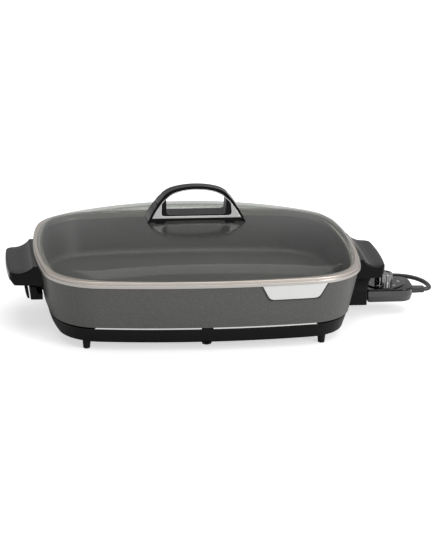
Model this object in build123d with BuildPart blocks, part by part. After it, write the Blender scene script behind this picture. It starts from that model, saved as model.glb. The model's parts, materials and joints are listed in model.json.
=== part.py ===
from build123d import *
import os
from math import cos, pi, radians, sin, tan

# Electric skillet: a cast pan with a heating loop under its floor, a plastic base, two bolted
# side handles, a domed glass cover that lifts off, and a plug-in heat control with its cord.
# Millimetres. +X runs along the pan towards the heat control, +Y to the back, +Z up.
# The origin is under the middle of the pan, on the surface that the feet stand on.

# ---- pan ----
pan_length = 419.0          # over the rim
pan_width = 326.0
pan_corner = 76.0           # corner radius of the rim, seen from above
end_bow = 17.4              # how far each short side swells
side_bow = 16.0             # how far each long side swells
foot_height = 11.5
pan_base_z = 32.7           # underside of the pan's floor
lip_z = 89.0                # underside of the rim flange
lip_reach = 2.0             # flange beyond the wall
lip_thick = 4.0
lip_round = 0.8
wall_lean = 10.8            # how far the wall comes in from the flange to the floor
wall_thick = 3.4
floor_thick = 5.5
floor_round = 10.0          # inside corner between floor and wall
seat_gap = 0.2              # air between parts bolted to the pan and its wall

# ---- heating loop and sensor seat under the pan ----
probe_z = 27.5              # height of the terminals and of the sensor
loop_radius = 3.5           # metal sheath
loop_length = 300.0
loop_width = 190.0
loop_corner = 34.0
loop_neck = 14.0            # half the distance between the two terminals
loop_end_x = 199.0
loop_fit = 0.15             # sheath in its cast groove
rib_width = 15.0            # cast rib that holds the loop
rib_skin = 1.6              # casting below the loop
rib_end_x = 194.0
pin_radius = 2.3
pin_end_x = 217.0
bush_radius = 4.6
bush_length = 5.0
seat_radius = 6.0           # cast sleeve for the sensor
seat_start_x = 146.0
probe_radius = 2.4
probe_fit = 0.4
probe_tip_x = 150.0

# ---- base ----
base_gap = 1.5              # base skirt inside the pan's foot line
base_lean = 5.4
base_wall = 4.0
neck_inset = 5.0
neck_height = 2.6
foot_x = 149.5
foot_y = 121.0
foot_radius = 5.4
foot_lean = 6.0              # degrees
stub_drop = 2.7                # small bump under the middle of each long side
stub_width = 11.5
base_round = 1.2
boss_radius = 5.5
base_screw_x = 134.0
base_screw_y = 107.0
base_screw_radius = 2.0
base_screw_bite = 5.0
web_reach = 12.0
screw_head_radius = 3.8
screw_head_height = 2.4
notch_half = 30.0           # gap in the base for the heat control
notch_drop = 13.0
strip_half = 141.0          # bright strip between pan and base
strip_height = 2.2
strip_setback = 0.6
clip_half = 7.5
clip_reach = 2.6

# ---- badge ----
badge_x = 108.4
badge_top_z = 88.6
badge_top = 87.0
badge_foot = 65.0
badge_height = 21.0
badge_thick = 1.1
badge_round = 6.0

# ---- side handles ----
grip_reach = 245.6          # outermost point, from the middle of the pan
grip_half = 58.0            # half length of the grip
root_half = 60.0            # half length where it meets the pan
grip_top = 79.0
grip_edge = 68.5            # underside at the outer edge
grip_under = 63.0           # underside by the bracket
crest_x = 212.8
crest_z = 88.4
root_x = 180.0
root_end_x = 206.0
scoop_end_x = 232.0          # where the flat grip starts to rise to the crest
neck_end_x = 229.5
grip_bow = 3.0
grip_corner = 10.0
grip_corner_y = 56.0
scoop_x = 220.4
scoop_z = 81.9
pad_foot_z = 47.0           # lowest point of the mounting pad
pad_foot_x = 206.0
pad_top_x = 211.0
bracket_top_x = 237.0
screw_seat_x = 205.6
handle_round = 2.0
pad_half = 29.0                # half length of the mounting pad
handle_screw_y = 18.0
handle_screw_z = 57.0
handle_screw_radius = 2.2
handle_screw_bite = 7.0      # length held in the pan's boss
boss_face_x = 202.6

# ---- brackets below the handles ----
bracket_half = 44.0
guard_half = 34.0
bracket_neck = 9.0             # how much the shoulders draw in on each side
bracket_in = 200.0             # face next to the pan wall
guard_in = 200.6
bracket_out = 215.5
bracket_foot_z = 39.0
bracket_flare = 10.0
bracket_shoulder_z = 56.0
bracket_round = 2.5
pad_gap = 0.3
hook_reach = 7.0
hook_thick = 2.6
hook_half = 43.0
guard_out = 225.0
guard_foot_z = 17.8
guard_shoulder_z = 38.0
nose_clear = 1.2
guard_flare = 16.0

# ---- cover ----
rim_inset = 1.5             # cover rim inside the pan's edge
rim_height = 3.4
rim_wall = 3.0
rim_floor = 1.0
skirt_inset = 10.5
skirt_thick = 1.0
skirt_drop = 4.0
glass_thick = 4.0
glass_fit = 0.1
glass_inset = rim_inset + rim_wall + glass_fit
dome_gap = 0.3              # handle feet above the glass
crown_z = 132.8
crown_radius_x = 940.0      # the dome's curve along the pan
crown_radius_y = 520.0      # and across it
shoulder_radius = 24.0
shoulder_tuck = 14.0           # how much of the shoulder's curve lies below the rim

# ---- cover handle ----
arch_half = 61.0
arch_foot_z = 139.0
arch_low_z = 125.0
arch_top_z = 176.0
arch_thick = 3.6
arch_foot_depth = 34.0
arch_top_depth = 14.0
trim_thick = 2.4
trim_edge = 1.1
trim_opening_half = 47.0
trim_opening_foot = 139.0
opening_round = 5.0
trim_foot_z = 136.3
core_opening_half = 40.0
core_floor_z = 140.0
cover_screw_x = 46.0
cover_screw_radius = 2.4
cover_screw_top = 142.0
washer_radius = 7.0
washer_thick = 1.6
washer_drop = 0.6

# ---- heat control ----
control_in = guard_out + 0.5
control_end = 290.0
control_half = 28.0
control_foot_z = 18.5
control_split_z = 27.0      # where the two halves of the housing meet
control_top_z = 34.2
control_taper = 2.4         # how far the lower half draws in towards its foot
control_corner = 18.0       # round corners at the cord end
control_nose_corner = 3.0
control_wall = 2.0
control_round = 1.4
deck_seam = 0.8             # shadow gap below the deck plate
deck_step = 2.4             # depth of that gap
deck_inset = 0.4
deck_thick = 1.6
nose_half = 23.0            # block that carries the contacts
nose_height = 9.0
nose_reach = 14.0
nose_round = 1.5
block_inside = 4.0
block_fit = 0.1
sleeve_radius = 3.6
sleeve_fit = 0.35
post_spots = [(240.0, -21.5), (240.0, 21.5), (272.0, -21.5), (272.0, 21.5)]
post_radius = 3.2
case_screw_radius = 1.3
case_screw_top = 30.0
case_head_radius = 2.4
case_head_height = 1.6
case_head_sink = 0.4
lens_spot = (232.0, 22.0)
lens_radius = 2.5
lens_rise = 0.9
lamp_radius = 1.9
lamp_foot_z = 22.6
frame_x = 238.0             # metal frame of the thermostat
frame_length = 34.0
frame_half = 15.0
frame_thick = 1.2
blade_length = 24.0
blade_width = 4.0
blade_y = 11.0
blade_thick = 0.8
bimetal_length = 7.0
bimetal_width = 6.0

# ---- dial ----
dial_x = 253.0
skirt_radius = 27.0         # numbered disc below the knob
skirt_gap = 0.3
skirt_height = 1.5
skirt_bevel = 0.9
knob_radius = 12.2
knob_height = 12.6
knob_taper = 3.0
knob_flutes = 12
flute_radius = 2.2
flute_sink = 0.9            # how deep each flute cuts
knob_cap_radius = 8.0       # dished top
knob_cap_depth = 0.8
shaft_radius = 3.0
shaft_fit = 0.08
shaft_bite = 7.0
cam_z = 29.0
cam_radius = 6.0
cam_thick = 1.6

# ---- strain relief and cord ----
relief_z = control_split_z
relief_start_x = 282.0
relief_end_x = 307.5
relief_flange = 15.0
relief_flange_height = 10.0
relief_width = 9.6
relief_height = 9.0
relief_taper = 0.9
relief_round = 1.8
relief_fit = 0.1
cord_radius = 3.0
cord_floor = 3.6            # centre height of the cord on the table
coil_x = 150.0
coil_y = 186.0
coil_radius = 33.0          # middle of the turns
coil_band = 12.0            # two turns side by side
coil_foot_z = 1.2
coil_height = 11.2
tie_width = 8.0
tie_thick = 0.8
tie_fit = 0.2
plug_end_x = 62.0           # face that the blades stand on
plug_length = 31.0
plug_neck_length = 13.0
plug_width = 25.0
plug_height = 14.4
plug_y = 156.0
plug_z = 7.6
plug_corner = 4.0
blade_gap = 12.7            # between the two plug blades
plug_blade_length = 17.0
plug_blade_height = 6.3
plug_blade_thick = 1.5
plug_blade_bite = 6.0

# The cord's route, from the strain relief to the coil behind the pan.
cord_route = [
    (relief_end_x, 0, relief_z),
    (310.6, 0, 27.0),
    (314.3, 1.9, 27.1),
    (316.5, 5.8, 27.4),
    (316.4, 13.5, 28.2),
    (313.0, 24.0, 29.2),
    (306.5, 34.5, 29.8),
    (297.5, 44.0, 29.8),
    (286.5, 52.0, 29.0),
    (275.5, 60.0, 27.0),
    (266.5, 70.0, 23.4),
    (261.5, 82.0, 18.2),
    (258.0, 94.5, 12.4),
    (252.5, 106.5, 7.6),
    (243.0, 117.0, 4.8),
    (230.0, 126.5, 3.8),
    (214.0, 135.0, cord_floor),
    (197.0, 142.0, cord_floor),
    (180.0, 147.0, 3.8),
    (163.0, 150.4, 4.2),
]
# and the last stretch, from the coil to the plug
tail_route = [
    (129.0, 153.6, 9.4),
    (121.5, 154.0, 9.1),
    (113.8, 155.0, 8.4),
    (plug_end_x + plug_length + plug_neck_length, plug_y, plug_z),
]

os.makedirs("parts", exist_ok=True)


def lean_at(z):
    """Inset of the outer wall from the rim's edge at a height."""
    return lip_reach + wall_lean * (lip_z - z) / (lip_z - pan_base_z)


def pan_outline(z, inset):
    """Bowed sides and round corners, at a height, inset from the rim's edge."""
    x, y = pan_length / 2 - inset, pan_width / 2 - inset
    with BuildSketch(Plane.XY.offset(z)) as flat:
        with BuildLine():
            ThreePointArc((end_bow - x, side_bow - y), (0, -y), (x - end_bow, side_bow - y))
            ThreePointArc((x - end_bow, side_bow - y), (x, 0), (x - end_bow, y - side_bow))
            ThreePointArc((x - end_bow, y - side_bow), (0, y), (end_bow - x, y - side_bow))
            ThreePointArc((end_bow - x, y - side_bow), (-x, 0), (end_bow - x, side_bow - y))
        make_face()
        fillet(flat.vertices(), pan_corner - inset)
    return flat.sketch

def save(piece, name):
    """Label a finished piece and write it to its own file."""
    piece.part.label = name
    export_step(piece.part, f"parts/{name}.step")


def across_x(x):
    """Plane across the X axis: its own x runs along +Y and its own y along +Z."""
    return Plane(origin=(x, 0, 0), x_dir=(0, 1, 0), z_dir=(1, 0, 0))


def across_y(y):
    """Plane across the Y axis, seen from the front: x along +X and y along +Z."""
    return Plane(origin=(0, y, 0), x_dir=(1, 0, 0), z_dir=(0, -1, 0))


def wall_skin(foot_z, top_z, grow):
    """Outlines of the pan's outer wall at two heights, grown outwards, ready to loft."""
    return [pan_outline(foot_z, lean_at(foot_z) - grow), pan_outline(top_z, lean_at(top_z) - grow)]


def dome(grow, foot_z):
    """The cover's domed form down to a height, grown outwards by a distance."""
    spin = 32
    start = Plane(
        origin=(0, 0, crown_z - crown_radius_x),
        x_dir=(0, 1, 0),
        z_dir=(cos(radians(spin / 2)), 0, sin(radians(spin / 2))),
    )
    with BuildPart() as crown:
        with BuildSketch(start) as section:
            with Locations((0, crown_radius_x - crown_radius_y)):
                Circle(crown_radius_y + grow)
            with Locations((0, crown_radius_x)):
                Rectangle(pan_width * 1.2, crown_z * 2, mode=Mode.INTERSECT)
        revolve(axis=Axis(start.origin, (0, 1, 0)), revolution_arc=spin)
    with BuildPart() as body:
        low_z = foot_z - shoulder_tuck
        extrude(pan_outline(low_z, glass_inset - grow), amount=crown_z + grow + 1 - low_z)
        add(crown.part, mode=Mode.INTERSECT)
        fillet(body.faces().sort_by(Axis.Z)[-1].edges(), shoulder_radius + grow)
        split(bisect_by=Plane.XY.offset(foot_z), keep=Keep.TOP)
    return body.part


# ================= pan =================
rim_z = lip_z + lip_thick
floor_z = pan_base_z + floor_thick
half_loop_x, half_loop_y = loop_length / 2, loop_width / 2


def loop_path(end_x):
    """Centre line of the heating loop, from one terminal round the pan to the other."""
    with BuildLine() as path:
        FilletPolyline(
            (end_x, loop_neck, probe_z),
            (half_loop_x, loop_neck, probe_z),
            (half_loop_x, half_loop_y, probe_z),
            (-half_loop_x, half_loop_y, probe_z),
            (-half_loop_x, -half_loop_y, probe_z),
            (half_loop_x, -half_loop_y, probe_z),
            (half_loop_x, -loop_neck, probe_z),
            (end_x, -loop_neck, probe_z),
            radius=[loop_neck] + [loop_corner] * 4 + [loop_neck],
        )
    return path.line


def loop_tube(end_x, radius, mode):
    """Round tube along the heating loop."""
    path = loop_path(end_x)
    with BuildSketch(Plane(origin=path @ 0, z_dir=path % 0)) as ring:
        Circle(radius)
    sweep(ring.sketch, path=path, mode=mode)


with BuildPart() as cavity:
    loft(wall_skin(floor_z, rim_z, -wall_thick))
    fillet(cavity.faces().sort_by(Axis.Z)[0].edges(), floor_round)

with BuildPart() as pan:
    loft(wall_skin(pan_base_z, lip_z, 0))
    extrude(pan_outline(lip_z, 0), amount=lip_thick)
    fillet(pan.faces().sort_by(Axis.Z)[-1].edges(), lip_round)
    with BuildSketch(Plane.XY.offset(probe_z - loop_radius - rib_skin)) as rib:
        with BuildLine():
            add(loop_path(rib_end_x))
        trace(line_width=rib_width)
    extrude(until=Until.NEXT)
    with BuildSketch(across_x(seat_start_x)):
        with Locations((0, probe_z)):
            Circle(seat_radius)
    extrude(amount=rib_end_x - seat_start_x)
    for side in (1, -1):
        with BuildSketch(across_x(side * boss_face_x)):
            with Locations((-handle_screw_y, handle_screw_z), (handle_screw_y, handle_screw_z)):
                Circle(boss_radius)
        extrude(amount=-side * 12)
    add(cavity.part, mode=Mode.SUBTRACT)
    loop_tube(rib_end_x + 1, loop_radius + loop_fit, Mode.SUBTRACT)
    with BuildSketch(across_x(rib_end_x)):
        with Locations((0, probe_z)):
            Circle(probe_radius + probe_fit)
    extrude(amount=probe_tip_x - rib_end_x - probe_fit, mode=Mode.SUBTRACT)
    for side in (1, -1):
        with BuildSketch(across_x(side * boss_face_x)):
            with Locations((-handle_screw_y, handle_screw_z), (handle_screw_y, handle_screw_z)):
                Circle(handle_screw_radius)
        extrude(amount=-side * handle_screw_bite, mode=Mode.SUBTRACT)
    with BuildSketch(Plane.XY.offset(pan_base_z)):
        with GridLocations(2 * base_screw_x, 2 * base_screw_y, 2, 2):
            Circle(base_screw_radius)
    extrude(amount=base_screw_bite, mode=Mode.SUBTRACT)
save(pan, "pan")

with BuildPart() as heating_element:
    loop_tube(loop_end_x, loop_radius, Mode.ADD)
save(heating_element, "heating_element")

with BuildPart() as terminal_pins:
    with BuildSketch(across_x(loop_end_x)):
        with Locations((-loop_neck, probe_z), (loop_neck, probe_z)):
            Circle(pin_radius)
    extrude(amount=pin_end_x - loop_end_x)
    fillet(terminal_pins.faces().group_by(Axis.X)[-1].edges(), pin_radius * 0.6)
save(terminal_pins, "terminal_pins")

with BuildPart() as terminal_bushes:
    with BuildSketch(across_x(loop_end_x)):
        with Locations((-loop_neck, probe_z), (loop_neck, probe_z)):
            Circle(bush_radius)
            Circle(pin_radius, mode=Mode.SUBTRACT)
    extrude(amount=bush_length)
    chamfer(terminal_bushes.faces().group_by(Axis.X)[-1].edges().group_by(SortBy.RADIUS)[-1], 1)
save(terminal_bushes, "terminal_bushes")

# ================= base =================
base_top_z = pan_base_z - neck_height
skirt_inset_top = lean_at(pan_base_z) + base_gap
with BuildPart() as base_frame:
    loft(
        [
            pan_outline(foot_height, skirt_inset_top + base_lean),
            pan_outline(base_top_z, skirt_inset_top),
        ]
    )
    fillet(base_frame.faces().sort_by(Axis.Z)[0].edges(), base_round)
    extrude(pan_outline(base_top_z, skirt_inset_top + neck_inset), amount=neck_height)
    inner = skirt_inset_top + base_lean + base_wall
    extrude(pan_outline(foot_height, inner), amount=neck_height + 30, mode=Mode.SUBTRACT)
    with BuildSketch(Plane.XY.offset(foot_height + base_wall)):
        with GridLocations(2 * base_screw_x, 2 * base_screw_y, 2, 2):
            Circle(boss_radius)
    extrude(amount=pan_base_z - foot_height - base_wall)
    stub_y = pan_width / 2 - inner + base_wall / 2
    with BuildSketch(Plane.XY.offset(foot_height + base_wall / 2)):
        with Locations((0, -stub_y), (0, stub_y)):
            RectangleRounded(stub_width, base_wall - 0.6, 1.6)
    extrude(amount=-stub_drop - base_wall / 2)
    # webs tie each screw boss to the ring
    for turn_x in (1, -1):
        for turn_y in (1, -1):
            with BuildSketch(Plane.XY.offset(foot_height + base_wall)) as web:
                with BuildLine():
                    Line(
                        (turn_x * base_screw_x, turn_y * base_screw_y),
                        (turn_x * (base_screw_x + web_reach), turn_y * (base_screw_y + web_reach)),
                    )
                trace(line_width=base_wall)
            extrude(amount=base_top_z - foot_height - 2 * base_wall)
    with BuildSketch(Plane.XY.offset(foot_height + base_wall)):
        with GridLocations(2 * base_screw_x, 2 * base_screw_y, 2, 2):
            Circle(base_screw_radius + 0.2)
    extrude(amount=40, mode=Mode.SUBTRACT)
    with BuildSketch(across_x(pan_length / 2)):
        with Locations((0, pan_base_z)):
            Rectangle(2 * notch_half, notch_drop, align=(Align.CENTER, Align.MAX))
    extrude(amount=-60, mode=Mode.SUBTRACT)
save(base_frame, "base_frame")

base_clear = skirt_inset_top + neck_inset


def strip_band(z, height, depth):
    """Ring that lies in the groove between the pan and the base skirt."""
    with BuildPart() as band:
        extrude(pan_outline(z, skirt_inset_top + strip_setback), amount=height)
        extrude(pan_outline(z, skirt_inset_top + depth), amount=height, mode=Mode.SUBTRACT)
    return band.part


def groove_piece(name, side, low_x, high_x, ramp):
    """Bar in the groove on one long side, with sloping ends."""
    top = base_top_z + strip_height
    with BuildPart() as piece:
        with BuildSketch(across_y(0)):
            for turn in (1, -1):
                with BuildLine():
                    Polyline(
                        (turn * low_x, base_top_z),
                        (turn * high_x, base_top_z),
                        (turn * (high_x - ramp), top),
                        (turn * low_x, top),
                        close=True,
                    )
                make_face()
        extrude(amount=side * pan_width)
        add(strip_band(base_top_z, strip_height, neck_inset), mode=Mode.INTERSECT)
    save(piece, name)
    return piece


strip_front = groove_piece("strip_front", 1, clip_half, strip_half, strip_height)
strip_back = groove_piece("strip_back", -1, clip_half, strip_half, strip_height)

with BuildPart() as base_clips:
    with BuildSketch(across_y(0)):
        with Locations((0, base_top_z)):
            Rectangle(2 * clip_half, strip_height + 0.3, align=(Align.CENTER, Align.MIN))
    extrude(amount=pan_width, both=True)
    add(strip_band(base_top_z, strip_height + 0.3, neck_inset), mode=Mode.INTERSECT)
save(base_clips, "base_clips")

with BuildPart() as feet:
    with BuildSketch(Plane.XY.offset(foot_height)):
        with GridLocations(2 * foot_x, 2 * foot_y, 2, 2):
            Circle(foot_radius)
    extrude(amount=-foot_height, taper=foot_lean)
    fillet(feet.faces().group_by(Axis.Z)[0].edges(), 0.8)
save(feet, "feet")

with BuildPart() as base_screws:
    head_z = foot_height + base_wall
    with BuildSketch(Plane.XY.offset(head_z - screw_head_height)):
        with GridLocations(2 * base_screw_x, 2 * base_screw_y, 2, 2):
            Circle(screw_head_radius)
    extrude(amount=screw_head_height)
    with BuildSketch(Plane.XY.offset(head_z)):
        with GridLocations(2 * base_screw_x, 2 * base_screw_y, 2, 2):
            Circle(base_screw_radius - 0.05)
    extrude(amount=pan_base_z - head_z + base_screw_bite - 0.5)
save(base_screws, "base_screws")

# ================= badge =================
badge_low = badge_top_z - badge_height
with BuildPart() as badge_skin:
    loft(wall_skin(badge_low - 5, lip_z, badge_thick))
    loft(wall_skin(badge_low - 5, lip_z, 0), mode=Mode.SUBTRACT)

with BuildPart() as badge_plate:
    with BuildSketch(across_y(0)) as face:
        with BuildLine():
            Polyline(
                (badge_x - badge_top / 2, badge_top_z),
                (badge_x + badge_top / 2, badge_top_z),
                (badge_x + badge_foot / 2, badge_low),
                (badge_x - badge_foot / 2, badge_low),
                close=True,
            )
        make_face()
        fillet(face.vertices().group_by(Axis.Y)[0], badge_round)
    extrude(amount=pan_width)
    add(badge_skin.part, mode=Mode.INTERSECT)
save(badge_plate, "badge_plate")

# ================= side handles =================
screw_spots = [(-handle_screw_y, handle_screw_z), (handle_screw_y, handle_screw_z)]
with BuildPart() as handle_right:
    with BuildSketch(across_y(root_half)):
        with BuildLine():
            Polyline(
                (crest_x, crest_z),
                (root_x, crest_z),
                (root_x, pad_foot_z),
                (pad_foot_x, pad_foot_z),
                (pad_top_x, grip_under),
                (bracket_top_x, grip_under),
                (grip_reach - 4, grip_edge),
                (grip_reach, grip_edge + 2),
                (grip_reach, grip_top),
                (scoop_end_x, grip_top),
            )
            Spline(
                (scoop_end_x, grip_top),
                (scoop_x, scoop_z),
                (crest_x, crest_z),
                tangents=[(-1, 0), (-0.65, 1)],
            )
        make_face()
    extrude(amount=2 * root_half)
    with BuildSketch() as plan:
        corner_x = grip_reach - grip_bow
        for side in (1, -1):
            with BuildLine():
                Polyline((corner_x, 0), (root_x, 0), (root_x, side * root_half), (root_end_x, side * root_half))
                Spline(
                    (root_end_x, side * root_half),
                    (neck_end_x, side * grip_half),
                    tangents=[(1, 0), (1, -0.1 * side)],
                )
                Polyline((neck_end_x, side * grip_half), (corner_x, side * grip_corner_y), (corner_x, 0))
            make_face()
        with BuildLine():
            ThreePointArc((corner_x, -grip_corner_y), (grip_reach, 0), (corner_x, grip_corner_y))
            Line((corner_x, grip_corner_y), (corner_x, -grip_corner_y))
        make_face()
        fillet(plan.vertices().filter_by_position(Axis.X, corner_x - 1, corner_x + 1), grip_corner)
    extrude(amount=rim_z, mode=Mode.INTERSECT)
    with BuildSketch(across_x(root_x)):
        with Locations((0, grip_under)):
            Rectangle(2 * root_half, crest_z - grip_under, align=(Align.CENTER, Align.MIN))
        with Locations((0, pad_foot_z)):
            Rectangle(2 * pad_half, crest_z - pad_foot_z, align=(Align.CENTER, Align.MIN))
    extrude(amount=grip_reach - root_x, mode=Mode.INTERSECT)
    grip_face = handle_right.faces().filter_by(Axis.Z).group_by(Axis.Z)[-2][0]
    fillet(grip_face.edges().sort_by(Axis.X)[1:], handle_round)
    loft(wall_skin(pad_foot_z - 5, lip_z, seat_gap), mode=Mode.SUBTRACT)
    with BuildSketch(across_x(boss_face_x + seat_gap)):
        with Locations(*screw_spots):
            Circle(boss_radius + seat_gap)
    extrude(amount=-20, mode=Mode.SUBTRACT)
    with BuildSketch(across_x(boss_face_x)):
        with Locations(*screw_spots):
            Circle(handle_screw_radius + 0.2)
    extrude(amount=20, mode=Mode.SUBTRACT)
    with BuildSketch(across_x(screw_seat_x)):
        with Locations(*screw_spots):
            Circle(screw_head_radius + 0.6)
    extrude(amount=60, mode=Mode.SUBTRACT)
save(handle_right, "handle_right")

with BuildPart() as handle_left:
    add(handle_right.part.mirror(Plane.YZ))
save(handle_left, "handle_left")

with BuildPart() as handle_screws_right:
    with BuildSketch(across_x(boss_face_x - handle_screw_bite + 0.5)):
        with Locations(*screw_spots):
            Circle(handle_screw_radius - 0.05)
    extrude(amount=screw_seat_x - boss_face_x + handle_screw_bite - 0.5)
    with BuildSketch(across_x(screw_seat_x)):
        with Locations(*screw_spots):
            Circle(screw_head_radius)
    extrude(amount=screw_head_height)
    fillet(handle_screws_right.faces().group_by(Axis.X)[-1].edges(), 0.8)
save(handle_screws_right, "handle_screws_right")

with BuildPart() as handle_screws_left:
    add(handle_screws_right.part.mirror(Plane.YZ))
save(handle_screws_left, "handle_screws_left")

# ================= brackets below the handles =================


def bracket(in_x, out_x, half, foot_z, shoulder_z, flare):
    """Block that hangs from a handle: straight foot, then a curve out to the grip."""
    with BuildPart() as block:
        with BuildSketch(across_y(half)):
            with BuildLine():
                Polyline(
                    (out_x, shoulder_z),
                    (out_x, foot_z),
                    (in_x, foot_z),
                    (in_x, pad_foot_z - pad_gap),
                    (pad_foot_x + pad_gap, pad_foot_z - pad_gap),
                    (pad_top_x + pad_gap, grip_under),
                    (out_x + flare, grip_under),
                )
                ThreePointArc(
                    (out_x, shoulder_z),
                    (out_x + flare * 0.35, shoulder_z + (grip_under - shoulder_z) * 0.65),
                    (out_x + flare, grip_under),
                )
            make_face()
        extrude(amount=2 * half)
        with BuildSketch(across_x(0)):
            Polygon(
                (-half, foot_z),
                (half, foot_z),
                (half, shoulder_z),
                (half - bracket_neck, grip_under),
                (bracket_neck - half, grip_under),
                (-half, shoulder_z),
                align=None,
            )
        extrude(amount=pan_length, mode=Mode.INTERSECT)
        corners = block.edges().filter_by(Axis.Z).filter_by_position(Axis.X, out_x - 1, out_x + 1)
        fillet(corners, bracket_round)
        with BuildSketch(across_x(screw_seat_x - 1)):
            with Locations(*screw_spots):
                Circle(screw_head_radius + pad_gap)
        extrude(amount=screw_head_height + 1 + pad_gap, mode=Mode.SUBTRACT)
    return block.part


with BuildPart() as probe_guard:
    add(bracket(guard_in, guard_out, guard_half, guard_foot_z, guard_shoulder_z, guard_flare))
    with BuildSketch(across_x(guard_in)):
        with Locations((0, probe_z)):
            RectangleRounded(2 * (nose_half + nose_clear), nose_height + 2 * nose_clear, 2)
    extrude(amount=guard_out + guard_flare - guard_in, mode=Mode.SUBTRACT)
save(probe_guard, "probe_guard")

with BuildPart() as bracket_left:
    add(bracket(bracket_in, bracket_out, bracket_half, bracket_foot_z, bracket_shoulder_z, bracket_flare))
    with BuildSketch(across_y(hook_half)):
        with BuildLine():
            ThreePointArc(
                (bracket_out + hook_reach, grip_under),
                (bracket_out + hook_reach - 0.5, (grip_under + bracket_foot_z) / 2 + 4),
                (bracket_out + hook_thick / 2 + 1.2, bracket_foot_z + 2),
            )
        trace(line_width=hook_thick)
    extrude(amount=2 * hook_half)
    with BuildSketch(Plane.XY.offset(grip_under)):
        Rectangle(2 * pan_length, pan_width)
    extrude(amount=10, mode=Mode.SUBTRACT)
    mirror(about=Plane.YZ, mode=Mode.REPLACE)
save(bracket_left, "bracket_left")

# ================= cover =================
glass_foot_z = rim_z + rim_floor
with BuildPart() as cover_rim:
    extrude(pan_outline(rim_z, rim_inset), amount=rim_height)
    fillet(cover_rim.faces().sort_by(Axis.Z)[-1].edges(), 1.0)
    add(dome(glass_fit, glass_foot_z), mode=Mode.SUBTRACT)
    extrude(pan_outline(rim_z - skirt_drop, skirt_inset), amount=skirt_drop)
    extrude(pan_outline(rim_z - skirt_drop, skirt_inset + skirt_thick), amount=30, mode=Mode.SUBTRACT)
save(cover_rim, "cover_rim")

with BuildPart() as cover_glass:
    add(dome(0, glass_foot_z))
    add(dome(-glass_thick, glass_foot_z - 1), mode=Mode.SUBTRACT)
    with BuildSketch():
        with Locations((-cover_screw_x, 0), (cover_screw_x, 0)):
            Circle(cover_screw_radius + 0.8)
    extrude(amount=crown_z + 5, mode=Mode.SUBTRACT)
save(cover_glass, "cover_glass")


def arch_face(shrink):
    """Front outline of the cover handle, shrunk inwards by a distance."""
    foot, top = arch_half - shrink, arch_top_z - shrink
    span = top - arch_foot_z
    with BuildSketch(across_y(0)) as face:
        with BuildLine():
            Spline(
                (-foot, arch_foot_z),
                (-foot * 0.71, arch_foot_z + span * 0.64),
                (0, top),
                (foot * 0.71, arch_foot_z + span * 0.64),
                (foot, arch_foot_z),
            )
            Polyline((foot, arch_foot_z), (foot + 4, arch_low_z), (-foot - 4, arch_low_z), (-foot, arch_foot_z))
        make_face()
    return face.sketch


def lean_body(shrink):
    """Side form of the cover handle: deep at the foot and slim at the top."""
    foot, top = arch_foot_depth / 2 - shrink, arch_top_depth / 2 - shrink
    rise = arch_top_z - arch_foot_z
    low = foot + (foot - top) * (arch_foot_z - arch_low_z) / rise
    with BuildPart() as body:
        with BuildSketch(across_x(-1.5 * arch_half)):
            Polygon((-low, arch_low_z), (low, arch_low_z), (top, arch_top_z + 1), (-top, arch_top_z + 1), align=None)
        extrude(amount=3 * arch_half)
    return body.part


def opening_face(half, floor, shrink):
    """Finger opening of the cover handle, seen from the front."""
    with BuildSketch(across_y(0)) as face:
        add(arch_face(shrink))
        with Locations((0, floor)):
            Rectangle(2 * half, 80, align=(Align.CENTER, Align.MIN), mode=Mode.INTERSECT)
        fillet(face.vertices(), opening_round)
    return face.sketch


seat_dome = dome(dome_gap, glass_foot_z)
with BuildPart() as handle_arch:
    extrude(arch_face(0), amount=arch_foot_depth, both=True)
    add(lean_body(0), mode=Mode.INTERSECT)
    extrude(arch_face(arch_thick), amount=arch_foot_depth, both=True, mode=Mode.SUBTRACT)
    add(seat_dome, mode=Mode.SUBTRACT)
save(handle_arch, "handle_arch")

with BuildPart() as handle_core:
    extrude(arch_face(arch_thick), amount=arch_foot_depth, both=True)
    add(lean_body(trim_thick), mode=Mode.INTERSECT)
    core_hole = opening_face(core_opening_half, core_floor_z, arch_thick + trim_edge)
    extrude(core_hole, amount=arch_foot_depth, both=True, mode=Mode.SUBTRACT)
    add(seat_dome, mode=Mode.SUBTRACT)
    with BuildSketch(Plane.XY.offset(crown_z - 10)):
        with Locations((-cover_screw_x, 0), (cover_screw_x, 0)):
            Circle(cover_screw_radius)
    extrude(amount=cover_screw_top - crown_z + 10, mode=Mode.SUBTRACT)
save(handle_core, "handle_core")


def trim(side, name):
    """Bright frame let into one face of the cover handle."""
    with BuildPart() as frame:
        extrude(arch_face(arch_thick), amount=side * arch_foot_depth)
        add(lean_body(0), mode=Mode.INTERSECT)
        add(lean_body(trim_thick), mode=Mode.SUBTRACT)
        extrude(opening_face(trim_opening_half, trim_opening_foot, arch_thick + trim_edge), amount=side * arch_foot_depth, mode=Mode.SUBTRACT)
        with BuildSketch(Plane.XY.offset(trim_foot_z)):
            Rectangle(4 * arch_half, 4 * arch_foot_depth)
        extrude(amount=-40, mode=Mode.SUBTRACT)
    save(frame, name)


trim(1, "handle_trim_front")
trim(-1, "handle_trim_back")

screw_plane_z = crown_z - cover_screw_x**2 / (2 * crown_radius_x) - glass_thick
with BuildPart() as cover_washers:
    with BuildSketch(Plane.XY.offset(screw_plane_z - washer_drop - washer_thick)):
        with Locations((-cover_screw_x, 0), (cover_screw_x, 0)):
            Circle(washer_radius)
            Circle(cover_screw_radius + 0.1, mode=Mode.SUBTRACT)
    extrude(amount=washer_thick)
save(cover_washers, "cover_washers")

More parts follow.
